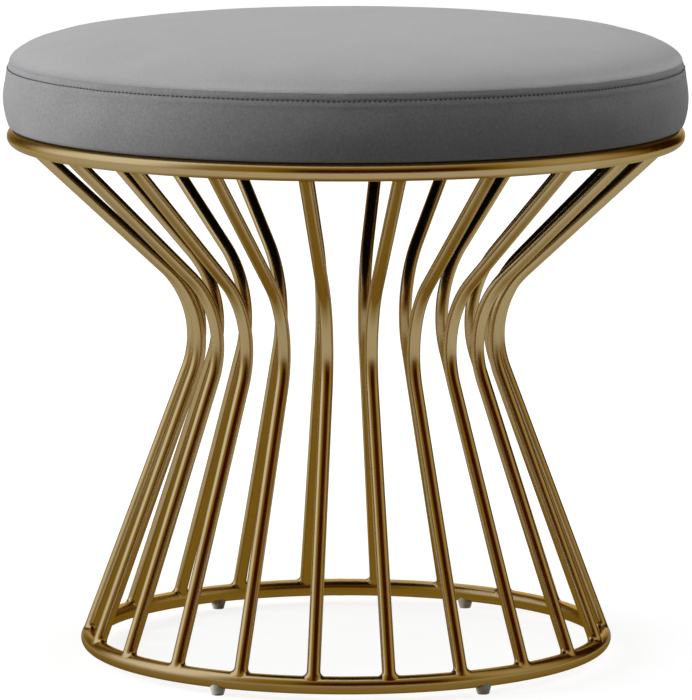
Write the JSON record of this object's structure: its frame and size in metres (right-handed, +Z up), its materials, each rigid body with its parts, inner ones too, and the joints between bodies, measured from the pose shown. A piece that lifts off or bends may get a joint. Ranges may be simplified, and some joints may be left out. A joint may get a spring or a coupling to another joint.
{
  "type": "vanity stool",
  "caption": "Round upholstered vanity stool on an hourglass cage of bent brass-finished rods welded between two hoops, with a crowned grey velvet seat.",
  "frame": {"origin": "on the floor, under the middle of the seat", "axes": "+Z up; the front is -Y, midway between two glides; X to the right seen from the front"},
  "size_m": [0.4908, 0.4908, 0.4586],
  "materials": {
    "satin_brass": "satin",
    "velvet": "matte",
    "foam": "matte",
    "plywood": "matte",
    "dust_cloth": "matte",
    "zinc_steel": "satin",
    "glide_plastic": "matte"
  },
  "bodies": {
    "root": {"bottom_ring": "satin_brass", "top_ring": "satin_brass", "rod_01": "satin_brass", "rod_02": "satin_brass", "rod_03": "satin_brass", "rod_04": "satin_brass", "rod_05": "satin_brass", "rod_06": "satin_brass", "rod_07": "satin_brass", "rod_08": "satin_brass", "rod_09": "satin_brass", "rod_10": "satin_brass", "rod_11": "satin_brass", "rod_12": "satin_brass", "rod_13": "satin_brass", "rod_14": "satin_brass", "rod_15": "satin_brass", "rod_16": "satin_brass", "rod_17": "satin_brass", "rod_18": "satin_brass", "rod_19": "satin_brass", "rod_20": "satin_brass", "rod_21": "satin_brass", "rod_22": "satin_brass", "mounting_tab_01": "satin_brass", "mounting_tab_02": "satin_brass", "mounting_tab_03": "satin_brass", "mounting_tab_04": "satin_brass", "foot_01": "glide_plastic", "foot_02": "glide_plastic", "foot_03": "glide_plastic", "foot_04": "glide_plastic", "seat_board": "plywood", "seat_foam": "foam", "cover_top_panel": "velvet", "cover_side_band": "velvet", "dust_cover": "dust_cloth", "seat_screw_01": "zinc_steel", "seat_screw_02": "zinc_steel", "seat_screw_03": "zinc_steel", "seat_screw_04": "zinc_steel", "washer_01": "zinc_steel", "washer_02": "zinc_steel", "washer_03": "zinc_steel", "washer_04": "zinc_steel", "tee_nut_01": "zinc_steel", "tee_nut_02": "zinc_steel", "tee_nut_03": "zinc_steel", "tee_nut_04": "zinc_steel"}
  },
  "joints": []
}
